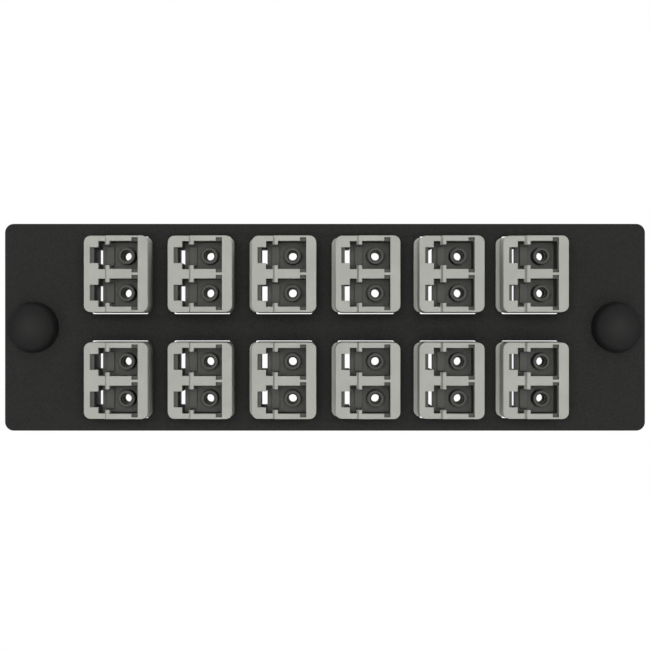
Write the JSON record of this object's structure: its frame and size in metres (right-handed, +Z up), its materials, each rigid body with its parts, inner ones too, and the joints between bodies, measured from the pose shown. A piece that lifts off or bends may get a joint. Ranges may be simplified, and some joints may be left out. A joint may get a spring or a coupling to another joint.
{
  "type": "fibre adapter panel",
  "caption": "Black steel panel with rows of grey duplex fibre adapters, ports open front and rear, and a push-pull fastener at each end that fixes it to a patch frame.",
  "frame": {"origin": "middle of the plate's rear face, between the two fastener axes, where the panel seats on its frame", "axes": "+X along the panel to the right seen from the front, +Z up, +Y backwards through the plate, so the front ports face -Y"},
  "size_m": [0.1092, 0.0278, 0.0354],
  "materials": {
    "plate_coat": "matt black powder coat",
    "adapter_plastic": "satin moulded grey plastic",
    "sleeve_holder": "satin moulded grey plastic",
    "clip_steel": "rolled stainless spring sheet",
    "fastener_nylon": "satin black nylon"
  },
  "bodies": {
    "panel": {"panel_plate": "plate_coat", "adapter_body_01": "adapter_plastic", "adapter_body_02": "adapter_plastic", "adapter_body_03": "adapter_plastic", "adapter_body_04": "adapter_plastic", "adapter_body_05": "adapter_plastic", "adapter_body_06": "adapter_plastic", "adapter_body_07": "adapter_plastic", "adapter_body_08": "adapter_plastic", "adapter_body_09": "adapter_plastic", "adapter_body_10": "adapter_plastic", "adapter_body_11": "adapter_plastic", "adapter_body_12": "adapter_plastic", "spring_clip_01": "clip_steel", "spring_clip_02": "clip_steel", "spring_clip_03": "clip_steel", "spring_clip_04": "clip_steel", "spring_clip_05": "clip_steel", "spring_clip_06": "clip_steel", "spring_clip_07": "clip_steel", "spring_clip_08": "clip_steel", "spring_clip_09": "clip_steel", "spring_clip_10": "clip_steel", "spring_clip_11": "clip_steel", "spring_clip_12": "clip_steel", "sleeve_upper_01": "sleeve_holder", "sleeve_upper_02": "sleeve_holder", "sleeve_upper_03": "sleeve_holder", "sleeve_upper_04": "sleeve_holder", "sleeve_upper_05": "sleeve_holder", "sleeve_upper_06": "sleeve_holder", "sleeve_upper_07": "sleeve_holder", "sleeve_upper_08": "sleeve_holder", "sleeve_upper_09": "sleeve_holder", "sleeve_upper_10": "sleeve_holder", "sleeve_upper_11": "sleeve_holder", "sleeve_upper_12": "sleeve_holder", "sleeve_lower_01": "sleeve_holder", "sleeve_lower_02": "sleeve_holder", "sleeve_lower_03": "sleeve_holder", "sleeve_lower_04": "sleeve_holder", "sleeve_lower_05": "sleeve_holder", "sleeve_lower_06": "sleeve_holder", "sleeve_lower_07": "sleeve_holder", "sleeve_lower_08": "sleeve_holder", "sleeve_lower_09": "sleeve_holder", "sleeve_lower_10": "sleeve_holder", "sleeve_lower_11": "sleeve_holder", "sleeve_lower_12": "sleeve_holder", "grommet_left": "fastener_nylon", "grommet_right": "fastener_nylon"},
    "left_plunger": {"plunger_left": "fastener_nylon"},
    "right_plunger": {"plunger_right": "fastener_nylon"}
  },
  "joints": [
    {"name": "left_plunger_pull", "type": "slide", "parent": "panel", "child": "left_plunger", "axis": [0, -1, 0], "range_m": [0, 0.005]},
    {"name": "right_plunger_pull", "type": "slide", "parent": "panel", "child": "right_plunger", "axis": [0, -1, 0], "range_m": [0, 0.005]}
  ]
}
